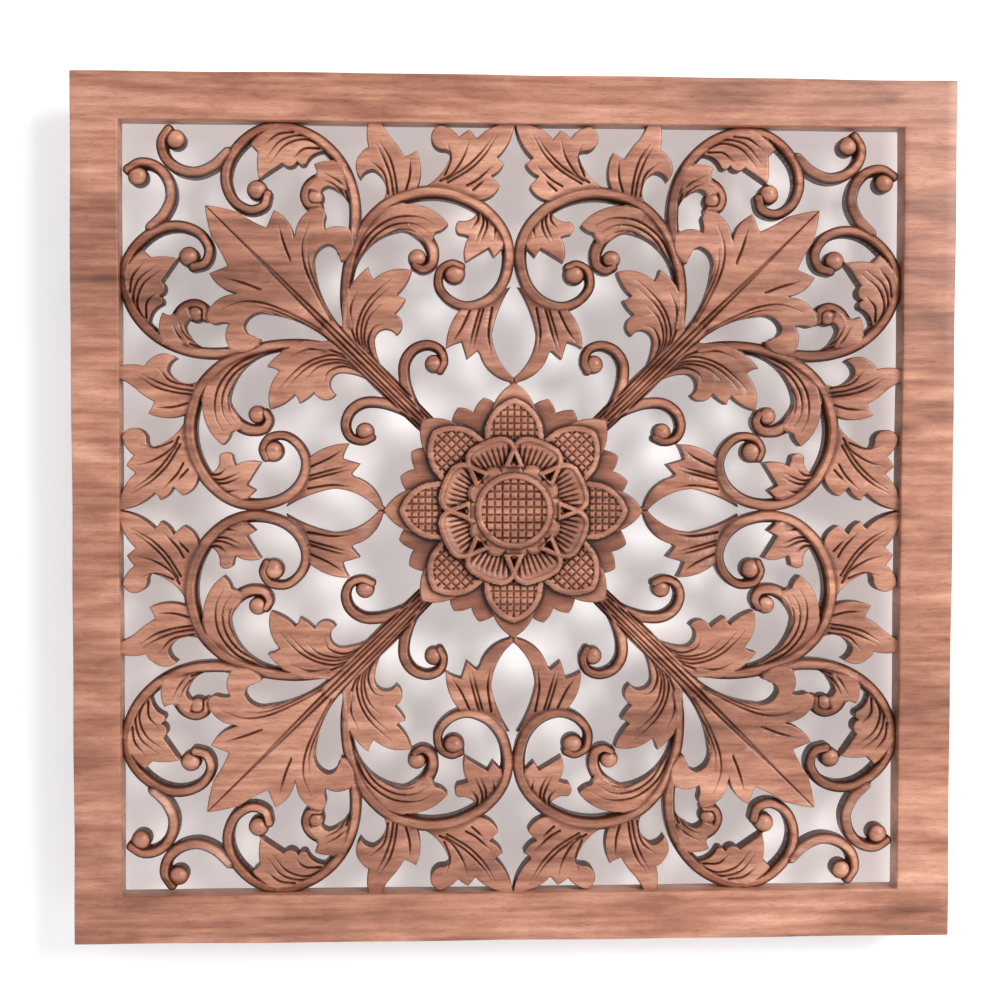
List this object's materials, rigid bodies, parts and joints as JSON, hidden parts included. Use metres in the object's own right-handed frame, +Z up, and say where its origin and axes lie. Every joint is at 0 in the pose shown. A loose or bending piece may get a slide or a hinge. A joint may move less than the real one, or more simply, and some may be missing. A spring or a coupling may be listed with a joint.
{
  "type": "carved wall panel",
  "caption": "Square openwork wall panel carved from one wooden board: a plain frame round mirrored scrollwork, leaves and a central lotus flower, with a flat back.",
  "frame": {"origin": "on the flat back of the top rail, at the middle of its length and half-way up its height, where the panel is hung against a wall", "axes": "+X to the right as seen from the carved face, +Y out of the back into the wall, +Z up; the carved face looks along -Y"},
  "size_m": [0.6, 0.02, 0.589],
  "materials": {
    "wood": "reddish-brown hardwood with straight grain, a satin wax polish and darker recesses"
  },
  "bodies": {
    "root": {"panel": "wood"}
  },
  "joints": []
}
